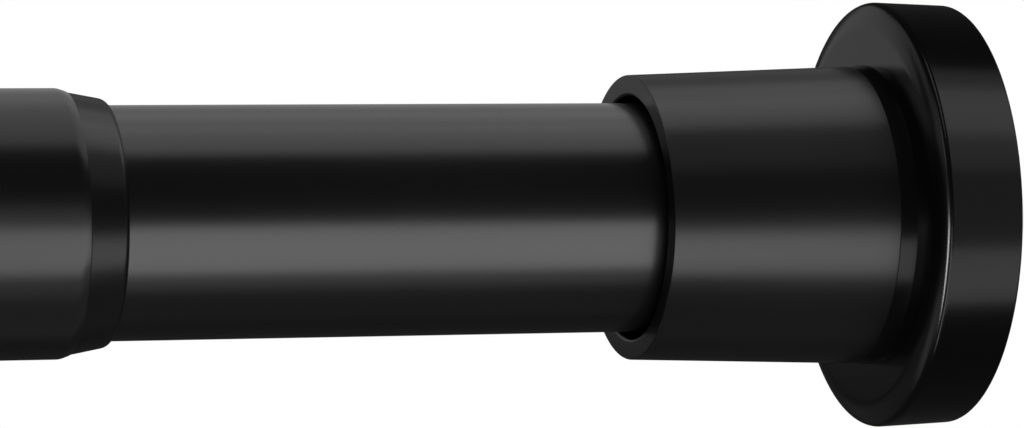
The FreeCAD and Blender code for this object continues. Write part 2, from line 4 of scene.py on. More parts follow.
import bmesh
import bpy
from mathutils import Matrix, Vector

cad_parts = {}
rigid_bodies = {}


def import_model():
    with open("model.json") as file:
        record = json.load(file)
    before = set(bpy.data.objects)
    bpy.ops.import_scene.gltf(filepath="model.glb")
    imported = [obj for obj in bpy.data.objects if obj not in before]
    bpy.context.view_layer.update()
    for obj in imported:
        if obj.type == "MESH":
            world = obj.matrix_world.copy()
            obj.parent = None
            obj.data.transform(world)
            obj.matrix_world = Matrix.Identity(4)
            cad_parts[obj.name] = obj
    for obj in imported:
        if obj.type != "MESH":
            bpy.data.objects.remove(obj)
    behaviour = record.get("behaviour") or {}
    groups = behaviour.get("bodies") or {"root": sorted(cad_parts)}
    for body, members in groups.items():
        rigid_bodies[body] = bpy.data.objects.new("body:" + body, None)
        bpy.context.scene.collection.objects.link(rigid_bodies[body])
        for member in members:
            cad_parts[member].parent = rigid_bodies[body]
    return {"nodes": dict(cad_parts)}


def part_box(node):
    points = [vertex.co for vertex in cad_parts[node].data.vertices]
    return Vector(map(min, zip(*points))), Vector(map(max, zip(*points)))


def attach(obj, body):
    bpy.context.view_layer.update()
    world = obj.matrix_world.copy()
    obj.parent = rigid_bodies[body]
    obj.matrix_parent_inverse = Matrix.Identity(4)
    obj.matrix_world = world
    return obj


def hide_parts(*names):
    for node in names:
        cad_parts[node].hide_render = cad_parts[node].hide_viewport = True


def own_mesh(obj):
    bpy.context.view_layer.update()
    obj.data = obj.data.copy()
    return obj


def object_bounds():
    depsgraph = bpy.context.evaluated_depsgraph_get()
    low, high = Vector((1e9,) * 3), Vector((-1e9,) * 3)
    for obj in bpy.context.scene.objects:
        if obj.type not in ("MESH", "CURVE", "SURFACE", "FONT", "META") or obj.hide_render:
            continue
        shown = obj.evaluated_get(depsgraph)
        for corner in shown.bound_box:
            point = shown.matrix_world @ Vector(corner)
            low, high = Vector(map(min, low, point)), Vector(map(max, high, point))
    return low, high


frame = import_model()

# Compact spring tension rod. The axis is X, from the fixed foot at 0 to the sprung foot, in metres.

cad_low, cad_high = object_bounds()

MM = 0.001
ROUND_STEPS = 192
FINE_STEPS = 96
BEND_STEPS = 6
WELD_REACH = 0.001 * MM
PICK_REACH = 0.01 * MM
SMOOTH_ANGLE = math.radians(32)


# Sizes read from the frame

def ends(node):
    """Where a node starts and ends along the rod, and its largest radius."""
    low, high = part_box(node)
    return low[0], high[0], high[2]


ROD_LENGTH = cad_high[0]
TUBE_START, TUBE_RIM, TUBE_RADIUS = ends("outer_tube")
INNER_START, INNER_END, INNER_RADIUS = ends("inner_tube")
COLLAR_START, NOSE_END = ends("tube_collar")[:2]
PAD_START, PAD_END, PAD_RADIUS = ends("fixed_foot_pad")
FLANGE_START, SPIGOT_END, FLANGE_RADIUS = ends("fixed_foot_flange")
NECK_END, MOUTH_END, FIXED_SLEEVE_RADIUS = ends("fixed_foot_sleeve")
SPRUNG_SLEEVE_RADIUS = ends("sprung_foot_sleeve")[2]
SPINDLE_START, SPINDLE_END, SPINDLE_RADIUS = ends("lock_spindle")
NUT_START, NUT_END = ends("lock_end_nut")[:2]
SCREW_START, SCREW_END = ends("fixed_foot_screw")[:2]
SPRING_START, SPRING_END = ends("foot_spring")[:2]

# Sizes of the details inside those boxes, starting with the tubes and the collar
OUTER_WALL = 0.8 * MM
INNER_WALL = 0.7 * MM
EDGE_BREAK = 0.2 * MM
RIM_ROLL_LENGTH = 0.8 * MM
RIM_ROLL_DEPTH = 0.28 * MM
RIM_ROLL_REACH = 0.26 * MM
RUNNING_CLEARANCE = 0.08 * MM
SEAT_CLEARANCE = 0.05 * MM
NOSE_STEP = 0.08 * MM
NOSE_TIP_RISE = 0.55 * MM
NOSE_ROUND = 0.6 * MM

# Sleeves
SLEEVE_WALL = 2.0 * MM
SLEEVE_TAPER = 0.78 * MM
SLEEVE_MOUTH_ROUND = 0.12 * MM
SLEEVE_MOUTH_LEAD = 0.3 * MM
SLEEVE_END_BREAK = 0.15 * MM

# Discs
NECK_LENGTH = 1.55 * MM
NECK_STEP = 0.15 * MM
NECK_FLARE = 0.3 * MM
FLANGE_CROWN = 0.8 * MM
FLANGE_CROWN_RUN = 1.5 * MM
FLANGE_CROWN_REACH = 1.2 * MM
FLANGE_DRAFT = 0.3 * MM
FLANGE_FRONT_ROUND = 0.42 * MM
FLANGE_BACK_ROUND = 0.3 * MM
SPIGOT_ROUND = 0.4 * MM
HUB_SEAT_RADIUS = 4.55 * MM
HUB_FLOOR = 1.6 * MM
SCREW_HOLE_RADIUS = 2.15 * MM
SCREW_POCKET_RADIUS = 5.0 * MM
SCREW_POCKET_DEPTH = 3.2 * MM
CORE_HUB_WALL = 2.4 * MM
CORE_RIM_WALL = 2.1 * MM
CORE_SKIN = 2.6 * MM
CORE_RIB_WIDTH = 1.6 * MM
CORE_RIB_PAIRS = 3

# Pads
PAD_EDGE_ROUND = 0.15 * MM
PAD_GROOVE_RADII = (8.0 * MM, 12.0 * MM, 16.0 * MM)
PAD_GROOVE_WIDTH = 1.4 * MM
PAD_GROOVE_DEPTH = 0.4 * MM

# Foot screws
SCREW_HEAD_RADIUS = 3.6 * MM
SCREW_HEAD_HEIGHT = 2.2 * MM
SCREW_HEAD_ROUND = 0.9 * MM
SCREW_UNDER_ROUND = 0.15 * MM
SCREW_SHANK_RADIUS = 1.95 * MM
SCREW_POINT = 0.6 * MM
SCREW_PITCH = 0.7 * MM
SCREW_RECESS_WIDTH = 0.9 * MM
SCREW_RECESS_SPAN = 3.8 * MM
SCREW_RECESS_DEPTH = 1.2 * MM

# Twist lock
LOCK_PITCH = 1.5 * MM
LOCK_THREAD_TURNS = 19
SPINDLE_CHAMFER = 0.5 * MM
NUT_FLATS = 10.0 * MM
NUT_CHAMFER = 0.45 * MM
NUT_BORE = 3.05 * MM

# Foot spring
SPRING_COIL_RADIUS = 8.0 * MM
SPRING_WIRE_RADIUS = 0.9 * MM
SPRING_CLOSED_PITCH = 1.95 * MM
SPRING_OPEN_TURNS = 6
SPRING_WIRE_SIDES = 16
SPRING_TURN_STEPS = 40

# A thread's ridge in shares of its pitch, and the share of its depth that stands out of the shank
THREAD_DEPTH = 0.6
THREAD_CREST_START = 0.40
THREAD_CREST_END = 0.52
THREAD_FOOT_END = 0.92
THREAD_STANDING = 0.5
THREAD_STEPS = 24


# Modelling

def pick(piece, test):
    """Selects the vertices of the piece in edit mode whose place passes the test."""
    mesh = bmesh.from_edit_mesh(piece.data)
    place = piece.matrix_world
    for vertex in mesh.verts:
        vertex.select = test(place @ vertex.co)
    mesh.select_flush_mode()
    bmesh.update_edit_mesh(piece.data)


def near(x, radius):
    """Test for a point of a half outline."""
    spot = Vector((x, 0, radius))
    return lambda point: (point - spot).length < PICK_REACH


def start_outline(name, x, radius):
    """A new piece in edit mode that is one vertex of its half outline."""
    bpy.ops.object.select_all(action="DESELECT")
    bpy.ops.mesh.primitive_plane_add(size=MM, location=(x, 0, radius))
    piece = bpy.context.object
    piece.name = name
    piece.data.name = name
    bpy.ops.object.mode_set(mode="EDIT")
    bpy.ops.mesh.select_all(action="SELECT")
    bpy.ops.mesh.merge(type="CENTER")
    return piece


def draw_outline(name, corners, closed):
    """Extrudes the half outline corner by corner, closes it and rounds the corners that ask for it."""
    piece = start_outline(name, corners[0][0], corners[0][1])
    for here, there in zip(corners, corners[1:]):
        step = (there[0] - here[0], 0, there[1] - here[1])
        bpy.ops.mesh.extrude_region_move(TRANSFORM_OT_translate={"value": step})
    if closed:
        first = near(*corners[0][:2])
        last = near(*corners[-1][:2])
        pick(piece, lambda point: first(point) or last(point))
        bpy.ops.mesh.edge_face_add()
    for corner in corners:
        if len(corner) == 3:
            pick(piece, near(corner[0], corner[1]))
            bpy.ops.mesh.bevel(offset=corner[2], segments=BEND_STEPS, affect="VERTICES")
    return piece


def apply_place():
    """Puts the place, turn and size of the selected piece into its mesh."""
    bpy.ops.object.transform_apply(location=True, rotation=True, scale=True)


def close_up(piece):
    """Welds the seam and turns every face outwards."""
    bpy.ops.mesh.select_all(action="SELECT")
    bpy.ops.mesh.remove_doubles(threshold=WELD_REACH)
    bpy.ops.mesh.normals_make_consistent(inside=False)
    bpy.ops.object.mode_set(mode="OBJECT")
    apply_place()
    return piece


def turned(name, corners, closed=True, steps=ROUND_STEPS):
    """Turned piece: a half outline spun about the rod's axis. A corner is (x, radius[, rounding])."""
    piece = draw_outline(name, corners, closed)
    bpy.ops.mesh.select_all(action="SELECT")
    bpy.ops.mesh.spin(steps=steps, angle=2 * math.pi, center=(0, 0, 0), axis=(1, 0, 0))
    return close_up(piece)


def block(name, low, high):
    """Box between two corners, used to cut."""
    bpy.ops.object.select_all(action="DESELECT")
    centre = [(a + b) / 2 for a, b in zip(low, high)]
    bpy.ops.mesh.primitive_cube_add(size=1, location=centre)
    piece = bpy.context.object
    piece.name = name
    piece.scale = [b - a for a, b in zip(low, high)]
    apply_place()
    return piece


def activate(piece):
    """Makes the piece the only selected one."""
    bpy.ops.object.select_all(action="DESELECT")
    piece.select_set(True)
    bpy.context.view_layer.objects.active = piece


def cut(piece, cutter):
    """Takes the cutter's volume out of the piece and deletes the cutter."""
    activate(piece)
    modifier = piece.modifiers.new("cut", "BOOLEAN")
    modifier.operation = "DIFFERENCE"
    modifier.solver = "EXACT"
    modifier.object = cutter
    bpy.ops.object.modifier_apply(modifier=modifier.name)
    bpy.data.objects.remove(cutter)


def join(piece, other):
    """Makes two pieces one object."""
    activate(piece)
    other.select_set(True)
    bpy.ops.object.join()
    return piece


def finish_surface(piece):
    """Smooth shading broken at real edges, with flat faces kept flat beside their roundings."""
    activate(piece)
    bpy.ops.object.shade_smooth_by_angle(angle=SMOOTH_ANGLE)
    modifier = piece.modifiers.new("flats", "WEIGHTED_NORMAL")
    modifier.keep_sharp = True
    bpy.ops.object.modifier_apply(modifier=modifier.name)


# Tubes and collar

def make_outer_tube():
    """Drawn steel tube with its far edge rolled in."""
    bore = TUBE_RADIUS - OUTER_WALL
    return turned("tube_outer_steel", [
        (TUBE_START, bore),
        (TUBE_START, TUBE_RADIUS, EDGE_BREAK),
        (TUBE_RIM - RIM_ROLL_LENGTH, TUBE_RADIUS, RIM_ROLL_REACH),
        (TUBE_RIM, TUBE_RADIUS - RIM_ROLL_DEPTH, EDGE_BREAK / 2),
        (TUBE_RIM, bore),
    ])


def make_inner_tube():
    """Thin steel tube that slides in the collar."""
    bore = INNER_RADIUS - INNER_WALL
    return turned("tube_inner_steel", [
        (INNER_START, bore),
        (INNER_START, INNER_RADIUS, EDGE_BREAK),
        (INNER_END, INNER_RADIUS, EDGE_BREAK),
        (INNER_END, bore),
    ])


def make_collar():
    """Moulded reducer with a short tapered nose."""
    bore = INNER_RADIUS + RUNNING_CLEARANCE
    insert = TUBE_RADIUS - OUTER_WALL - SEAT_CLEARANCE
    return turned("collar_nose", [
        (COLLAR_START, bore),
        (COLLAR_START, insert),
        (TUBE_RIM, insert),
        (TUBE_RIM, TUBE_RADIUS - RIM_ROLL_DEPTH - NOSE_STEP),
        (NOSE_END, INNER_RADIUS + NOSE_TIP_RISE, NOSE_ROUND),
        (NOSE_END, bore),
    ])


# Feet

def sprung(w):
    """Turns a distance from the wall into a place at the sprung end."""
    return ROD_LENGTH - w


def fixed(w):
    """Turns a distance from the wall into a place at the fixed end."""
    return w


def make_sleeve(name, place, base_radius):
    """Tapered cover, widest at the neck."""
    mouth_radius = base_radius - SLEEVE_TAPER
    bore = mouth_radius - SLEEVE_WALL
    return turned(name, [
        (place(NECK_END), bore),
        (place(NECK_END), base_radius, SLEEVE_END_BREAK),
        (place(MOUTH_END), mouth_radius, SLEEVE_MOUTH_ROUND),
        (place(MOUTH_END), bore, SLEEVE_MOUTH_LEAD),
    ])


def make_flange(name, place, base_radius):
    """Crowned disc with its neck, its spigot, the pad's recess, the screw's pocket and the cored back."""
    bore = base_radius - SLEEVE_TAPER - SLEEVE_WALL
    neck_radius = base_radius - NECK_STEP
    spigot_radius = bore - SEAT_CLEARANCE
    face = NECK_END - NECK_LENGTH
    rim = face - FLANGE_CROWN
    back_radius = FLANGE_RADIUS - FLANGE_DRAFT
    screw_seat = PAD_END + SCREW_POCKET_DEPTH
    recess_radius = PAD_RADIUS + SEAT_CLEARANCE
    floor = screw_seat + HUB_FLOOR
    piece = turned(name, [
        (place(PAD_END), SCREW_POCKET_RADIUS),
        (place(PAD_END), recess_radius),
        (place(FLANGE_START), recess_radius),
        (place(FLANGE_START), back_radius, FLANGE_BACK_ROUND),
        (place(rim), FLANGE_RADIUS, FLANGE_FRONT_ROUND),
        (place(face), FLANGE_RADIUS - FLANGE_CROWN_RUN, FLANGE_CROWN_REACH),
        (place(face), neck_radius + NECK_FLARE),
        (place(NECK_END), neck_radius),
        (place(NECK_END), spigot_radius),
        (place(SPIGOT_END), spigot_radius, SPIGOT_ROUND),
        (place(SPIGOT_END), HUB_SEAT_RADIUS),
        (place(floor), HUB_SEAT_RADIUS),
        (place(floor), SCREW_HOLE_RADIUS),
        (place(screw_seat), SCREW_HOLE_RADIUS),
        (place(screw_seat), SCREW_POCKET_RADIUS),
    ])
    core_inside = SCREW_POCKET_RADIUS + CORE_HUB_WALL
    core_outside = back_radius - CORE_RIM_WALL
    core_start = place(FLANGE_START - MM)
    core_end = place(rim - CORE_SKIN)
    core = turned(name + "_core", [
        (core_start, core_inside),
        (core_start, core_outside),
        (core_end, core_outside),
        (core_end, core_inside),
    ], steps=FINE_STEPS)
    reach = core_outside + MM
    low_x = min(core_start, core_end) - MM
    high_x = max(core_start, core_end) + MM
    for number in range(CORE_RIB_PAIRS):
        rib = block("rib", (low_x, -CORE_RIB_WIDTH / 2, -reach), (high_x, CORE_RIB_WIDTH / 2, reach))
        rib.data.transform(Matrix.Rotation(math.pi * number / CORE_RIB_PAIRS, 4, "X"))
        cut(core, rib)
    cut(piece, core)
    return piece


def make_pad(name, place):
    """Rubber disc with grip grooves towards the wall."""
    corners = [(place(PAD_START), 0)]
    for radius in PAD_GROOVE_RADII:
        inside = radius - PAD_GROOVE_WIDTH / 2
        outside = radius + PAD_GROOVE_WIDTH / 2
        corners.append((place(PAD_START), inside))
        corners.append((place(PAD_START + PAD_GROOVE_DEPTH), inside))
        corners.append((place(PAD_START + PAD_GROOVE_DEPTH), outside))
        corners.append((place(PAD_START), outside))
    corners.append((place(PAD_START), PAD_RADIUS, PAD_EDGE_ROUND))
    corners.append((place(PAD_END), PAD_RADIUS))
    corners.append((place(PAD_END), 0))
    return turned(name, corners, closed=False)


# Hidden fasteners

def wind(piece, pitch, turns, steps):
    """Winds the active piece's outline about the rod's axis."""
    modifier = piece.modifiers.new("winding", "SCREW")
    modifier.axis = "X"
    modifier.screw_offset = pitch
    modifier.iterations = turns
    modifier.steps = steps
    modifier.render_steps = steps
    bpy.ops.object.modifier_apply(modifier=modifier.name)


def close_winding(piece):
    """Welds a wound piece's turns and closes its two ends."""
    bpy.ops.object.mode_set(mode="EDIT")
    bpy.ops.mesh.select_all(action="SELECT")
    bpy.ops.mesh.remove_doubles(threshold=WELD_REACH)
    bpy.ops.mesh.fill_holes(sides=0)
    return close_up(piece)


def shank_radius(crest, pitch):
    """Radius of the shank that a thread stands on."""
    return crest - THREAD_STANDING * THREAD_DEPTH * pitch


def make_thread(name, start, crest, pitch, turns):
    """Ridge wound round the axis. Its foot is sunk into the shank that it is joined to."""
    root = crest - THREAD_DEPTH * pitch
    piece = draw_outline(name, [
        (start, root),
        (start + THREAD_CREST_START * pitch, crest),
        (start + THREAD_CREST_END * pitch, crest),
        (start + THREAD_FOOT_END * pitch, root),
    ], closed=True)
    bpy.ops.object.mode_set(mode="OBJECT")
    apply_place()
    wind(piece, pitch, turns, THREAD_STEPS)
    return close_winding(piece)


def make_spindle():
    """Lock spindle with its coarse thread under the nut and the cone, and a plain end in the plug."""
    core = shank_radius(SPINDLE_RADIUS, LOCK_PITCH)
    thread_end = SPINDLE_START + SPINDLE_CHAMFER + LOCK_THREAD_TURNS * LOCK_PITCH + LOCK_PITCH
    shank = turned("lock_spindle_steel", [
        (SPINDLE_START, 0),
        (SPINDLE_START, core, SPINDLE_CHAMFER / 2),
        (thread_end, core),
        (thread_end, SPINDLE_RADIUS),
        (SPINDLE_END, SPINDLE_RADIUS, SPINDLE_CHAMFER),
        (SPINDLE_END, 0),
    ], closed=False, steps=FINE_STEPS)
    thread = make_thread("lock_thread", SPINDLE_START + SPINDLE_CHAMFER, SPINDLE_RADIUS, LOCK_PITCH,
                         LOCK_THREAD_TURNS)
    return join(shank, thread)


def make_foot_screw(name, place):
    """Pan-head screw with a cross recess and a fine thread."""
    under_head = SCREW_START + SCREW_HEAD_HEIGHT
    core = shank_radius(SCREW_SHANK_RADIUS, SCREW_PITCH)
    turns = int((SCREW_END - SCREW_POINT - under_head) / SCREW_PITCH) - 1
    # A thread is always wound towards +X, so the sprung end's starts at the screw's point
    first = place(under_head)
    if place is sprung:
        first -= (turns + 1) * SCREW_PITCH
    screw = turned(name, [
        (place(SCREW_START), 0),
        (place(SCREW_START), SCREW_HEAD_RADIUS, SCREW_HEAD_ROUND),
        (place(under_head), SCREW_HEAD_RADIUS, SCREW_UNDER_ROUND),
        (place(under_head), core),
        (place(SCREW_END - SCREW_POINT), core),
        (place(SCREW_END), core - SCREW_POINT),
        (place(SCREW_END), 0),
    ], closed=False, steps=FINE_STEPS)
    half_width = SCREW_RECESS_WIDTH / 2
    half_span = SCREW_RECESS_SPAN / 2
    bottom = place(SCREW_START + SCREW_RECESS_DEPTH)
    outside = place(SCREW_START - MM)
    low_x, high_x = sorted((bottom, outside))
    for half_y, half_z in ((half_width, half_span), (half_span, half_width)):
        cut(screw, block("recess", (low_x, -half_y, -half_z), (high_x, half_y, half_z)))
    return join(screw, make_thread(name + "_thread", first, SCREW_SHANK_RADIUS, SCREW_PITCH, turns))


def make_nut():
    """Hexagonal nut with chamfered corners."""
    corner_radius = NUT_FLATS / 2 / math.cos(math.pi / 6)
    bpy.ops.object.select_all(action="DESELECT")
    bpy.ops.mesh.primitive_cylinder_add(vertices=6, radius=corner_radius, depth=NUT_END - NUT_START,
                                        location=((NUT_START + NUT_END) / 2, 0, 0), rotation=(0, math.pi / 2, 0))
    nut = bpy.context.object
    nut.name = "lock_nut"
    apply_place()
    nut.data.transform(Matrix.Rotation(math.pi / 6, 4, "X"))
    outside = corner_radius + MM
    face_radius = NUT_FLATS / 2 - EDGE_BREAK
    slope = (corner_radius - face_radius) / NUT_CHAMFER
    for end, inward in ((NUT_START, 1), (NUT_END, -1)):
        chamfer = turned("chamfer", [
            (end - inward * MM, face_radius - slope * MM),
            (end + inward * (outside - face_radius) / slope, outside),
            (end - inward * MM, outside),
        ], steps=FINE_STEPS)
        cut(nut, chamfer)
    hole = turned("hole", [
        (NUT_START - MM, 0),
        (NUT_START - MM, NUT_BORE),
        (NUT_END + MM, NUT_BORE),
        (NUT_END + MM, 0),
    ], closed=False, steps=FINE_STEPS)
    cut(nut, hole)
    return nut


# Foot spring

def wind_wire(name, start, pitch, turns):
    """Round wire wound about the rod's axis, starting at its front."""
    bpy.ops.object.select_all(action="DESELECT")
    bpy.ops.mesh.primitive_circle_add(vertices=SPRING_WIRE_SIDES, radius=SPRING_WIRE_RADIUS,
                                      location=(start, -SPRING_COIL_RADIUS, 0))
    wire = bpy.context.object
    wire.name = name
    wire.data.name = name
    apply_place()
    wind(wire, pitch, turns, SPRING_TURN_STEPS)
    return wire


def make_foot_spring():
    """Compression spring of round wire, with a closed turn at each end."""
    start = SPRING_START + SPRING_WIRE_RADIUS
    end = SPRING_END - SPRING_WIRE_RADIUS
    open_length = end - start - 2 * SPRING_CLOSED_PITCH
    spring = wind_wire("wound_foot_spring", start, SPRING_CLOSED_PITCH, 1)
    join(spring, wind_wire("open_turns", start + SPRING_CLOSED_PITCH, open_length / SPRING_OPEN_TURNS,
                           SPRING_OPEN_TURNS))
    join(spring, wind_wire("last_turn", end - SPRING_CLOSED_PITCH, SPRING_CLOSED_PITCH, 1))
    return close_winding(spring)


# Node groups shared by the materials

# Scales of noise are waves per metre, and a span is where a mask starts and where it is full
SOFT_DETAIL = 2.0
MIDDLE_DETAIL = 3.0
BROKEN_DETAIL = 4.0
GRAIN_ROUGHNESS = 0.6
WEAR_WIDTH = 0.3 * MM
WEAR_SPAN = (0.02, 0.25)
WEAR_PATCH_SPAN = (0.42, 0.62)
WEAR_SAMPLES = 4
DUST_UPWARD_SPAN = (0.2, 1.0)
DUST_SPECK_SPAN = (0.66, 0.78)
DUST_CLOUD_SPAN = (0.4, 0.75)
HANDLING_SCALE = 45.0
HANDLING_SPAN = (0.3, 0.7)
STREAK_SCALE = 900.0
STREAK_STRETCH = (0.04, 1.0, 1.0)
STREAK_SPAN = (0.6, 0.75)
TONE_SCALE = 35.0
TONE_SPAN = (0.35, 0.65)


def new_group(name, inputs, outputs):
    """Empty shader node group with named sockets. Inputs are (name, kind, default)."""
    group = bpy.data.node_groups.new(name, "ShaderNodeTree")
    for label, kind, default in inputs:
        socket = group.interface.new_socket(label, in_out="INPUT", socket_type=kind)
        if default is not None:
            socket.default_value = default
    for label, kind in outputs:
        group.interface.new_socket(label, in_out="OUTPUT", socket_type=kind)
    start = group.nodes.new("NodeGroupInput")
    end = group.nodes.new("NodeGroupOutput")
    return group, start, end


def maths(tree, operation, first, second=None, clamp=False):
    """Math node whose inputs are sockets or numbers."""
    node = tree.nodes.new("ShaderNodeMath")
    node.operation = operation
    node.use_clamp = clamp
    for index, value in enumerate((first, second)):
        if value is None:
            continue
        if isinstance(value, bpy.types.NodeSocket):
            tree.links.new(value, node.inputs[index])
        else:
            node.inputs[index].default_value = value
    return node.outputs[0]


def noise(tree, vector, scale, detail, roughness=0.5):
    """Noise texture whose scale may be a socket."""
    node = tree.nodes.new("ShaderNodeTexNoise")
    node.inputs["Detail"].default_value = detail
    node.inputs["Roughness"].default_value = roughness
    tree.links.new(vector, node.inputs["Vector"])
    if isinstance(scale, bpy.types.NodeSocket):
        tree.links.new(scale, node.inputs["Scale"])
    else:
        node.inputs["Scale"].default_value = scale
    return node.outputs["Fac"]


def ramp(tree, value, span):
    """Clamped map of a value from a span to 0..1."""
    node = tree.nodes.new("ShaderNodeMapRange")
    node.inputs["From Min"].default_value = span[0]
    node.inputs["From Max"].default_value = span[1]
    tree.links.new(value, node.inputs["Value"])
    return node.outputs["Result"]


def make_skin_group():
    """Fine skin of a sprayed or moulded surface: soft waves with a finer grain on them."""
    group, start, end = new_group("skin_grain", [
        ("Vector", "NodeSocketVector", None),
        ("Wave Scale", "NodeSocketFloat", 700.0),
        ("Grain Scale", "NodeSocketFloat", 2600.0),
        ("Grain Share", "NodeSocketFloat", 0.35),
    ], [("Height", "NodeSocketFloat")])
    wave = noise(group, start.outputs["Vector"], start.outputs["Wave Scale"], SOFT_DETAIL)
    grain = noise(group, start.outputs["Vector"], start.outputs["Grain Scale"], MIDDLE_DETAIL, GRAIN_ROUGHNESS)
    fine = maths(group, "MULTIPLY", grain, start.outputs["Grain Share"])
    height = maths(group, "ADD", wave, fine)
    group.links.new(height, end.inputs["Height"])
    return group


def make_wear_group():
    """Mask of rubbed outer edges, broken up by noise."""
    group, start, end = new_group("edge_wear", [
        ("Vector", "NodeSocketVector", None),
        ("Width", "NodeSocketFloat", WEAR_WIDTH),
        ("Break Scale", "NodeSocketFloat", 400.0),
    ], [("Mask", "NodeSocketFloat")])
    bevel = group.nodes.new("ShaderNodeBevel")
    bevel.samples = WEAR_SAMPLES
    geometry = group.nodes.new("ShaderNodeNewGeometry")
    product = group.nodes.new("ShaderNodeVectorMath")
    product.operation = "DOT_PRODUCT"
    group.links.new(start.outputs["Width"], bevel.inputs["Radius"])
    group.links.new(bevel.outputs["Normal"], product.inputs[0])
    group.links.new(geometry.outputs["Normal"], product.inputs[1])
    turning = maths(group, "SUBTRACT", 1.0, product.outputs["Value"], clamp=True)
    edge = ramp(group, turning, WEAR_SPAN)
    broken = noise(group, start.outputs["Vector"], start.outputs["Break Scale"], BROKEN_DETAIL)
    patches = ramp(group, broken, WEAR_PATCH_SPAN)
    group.links.new(maths(group, "MULTIPLY", edge, patches), end.inputs["Mask"])
    return group


def make_dust_group():
    """Mask of light dust that settles on faces turned up."""
    group, start, end = new_group("settled_dust", [
        ("Vector", "NodeSocketVector", None),
        ("Speck Scale", "NodeSocketFloat", 1800.0),
        ("Cloud Scale", "NodeSocketFloat", 60.0),
    ], [("Mask", "NodeSocketFloat")])
    geometry = group.nodes.new("ShaderNodeNewGeometry")
    split = group.nodes.new("ShaderNodeSeparateXYZ")
    group.links.new(geometry.outputs["Normal"], split.inputs["Vector"])
    upward = ramp(group, split.outputs["Z"], DUST_UPWARD_SPAN)
    fine = noise(group, start.outputs["Vector"], start.outputs["Speck Scale"], SOFT_DETAIL)
    specks = ramp(group, fine, DUST_SPECK_SPAN)
    wide = noise(group, start.outputs["Vector"], start.outputs["Cloud Scale"], MIDDLE_DETAIL)
    cloud = ramp(group, wide, DUST_CLOUD_SPAN)
    both = maths(group, "MULTIPLY", specks, cloud)
    group.links.new(maths(group, "MULTIPLY", both, upward), end.inputs["Mask"])
    return group


def make_handling_group():
    """Roughness that drifts between two values, with faint rubbed streaks along the rod."""
    group, start, end = new_group("handling_marks", [
        ("Vector", "NodeSocketVector", None),
        ("Low", "NodeSocketFloat", 0.3),
        ("High", "NodeSocketFloat", 0.4),
        ("Streaks", "NodeSocketFloat", 0.02),
    ], [("Roughness", "NodeSocketFloat")])
    cloud = noise(group, start.outputs["Vector"], HANDLING_SCALE, MIDDLE_DETAIL)
    drift = group.nodes.new("ShaderNodeMapRange")
    drift.inputs["From Min"].default_value = HANDLING_SPAN[0]
    drift.inputs["From Max"].default_value = HANDLING_SPAN[1]
    group.links.new(cloud, drift.inputs["Value"])
    group.links.new(start.outputs["Low"], drift.inputs["To Min"])
    group.links.new(start.outputs["High"], drift.inputs["To Max"])
    stretch = group.nodes.new("ShaderNodeVectorMath")
    stretch.operation = "MULTIPLY"
    stretch.inputs[1].default_value = STREAK_STRETCH
    group.links.new(start.outputs["Vector"], stretch.inputs[0])
    lines = ramp(group, noise(group, stretch.outputs["Vector"], STREAK_SCALE, SOFT_DETAIL), STREAK_SPAN)
    rubbed = maths(group, "MULTIPLY", lines, start.outputs["Streaks"])
    group.links.new(maths(group, "SUBTRACT", drift.outputs["Result"], rubbed), end.inputs["Roughness"])
    return group


SKIN = make_skin_group()
WEAR = make_wear_group()
DUST = make_dust_group()
HANDLING = make_handling_group()


def place_group(tree, group, vector, values):
    """Adds a shared group to a material with its own values."""
    node = tree.nodes.new("ShaderNodeGroup")
    node.node_tree = group
    tree.links.new(vector, node.inputs["Vector"])
    for label, value in values.items():
        node.inputs[label].default_value = value
    return node.outputs[0]


def mix_colour(tree, mask, first, second):
    """Mixes two colours by a mask. Each colour is a socket or a tuple."""
    node = tree.nodes.new("ShaderNodeMix")
    node.data_type = "RGBA"
    tree.links.new(mask, node.inputs["Factor"])
    for label, value in (("A", first), ("B", second)):
        socket = [entry for entry in node.inputs if entry.name == label and entry.type == "RGBA"][0]
        if isinstance(value, bpy.types.NodeSocket):
            tree.links.new(value, socket)
        else:
            socket.default_value = (*value, 1.0)
    return [entry for entry in node.outputs if entry.type == "RGBA"][0]


# Materials

def grey(value):
    """Colour of equal red, green and blue."""
    return (value, value, value)


def make_material(name, colour, darker, worn, dust, roughness, skin, metallic=0.0, streaks=0.02):
    """Finish made of the shared groups: two close tones, rubbed edges, dust, handling marks and skin.

    roughness is (low, high) and skin is (wave scale, grain scale, grain share, depth)."""
    material = bpy.data.materials.new(name)
    material.use_nodes = True
    tree = material.node_tree
    shader = tree.nodes["Principled BSDF"]
    vector = tree.nodes.new("ShaderNodeTexCoord").outputs["Object"]
    cloud = ramp(tree, noise(tree, vector, TONE_SCALE, MIDDLE_DETAIL), TONE_SPAN)
    tone = mix_colour(tree, cloud, colour, darker)
    wear_mask = place_group(tree, WEAR, vector, {})
    rubbed = mix_colour(tree, wear_mask, tone, worn)
    dust_mask = place_group(tree, DUST, vector, {})
    dusty = mix_colour(tree, dust_mask, rubbed, dust)
    tree.links.new(dusty, shader.inputs["Base Color"])
    marks = place_group(tree, HANDLING, vector, {"Low": roughness[0], "High": roughness[1], "Streaks": streaks})
    tree.links.new(marks, shader.inputs["Roughness"])
    height = place_group(tree, SKIN, vector, {
        "Wave Scale": skin[0],
        "Grain Scale": skin[1],
        "Grain Share": skin[2],
    })
    bump = tree.nodes.new("ShaderNodeBump")
    bump.inputs["Distance"].default_value = skin[3]
    tree.links.new(height, bump.inputs["Height"])
    tree.links.new(bump.outputs["Normal"], shader.inputs["Normal"])
    shader.inputs["Metallic"].default_value = metallic
    material.diffuse_color = (*colour, 1.0)
    return material


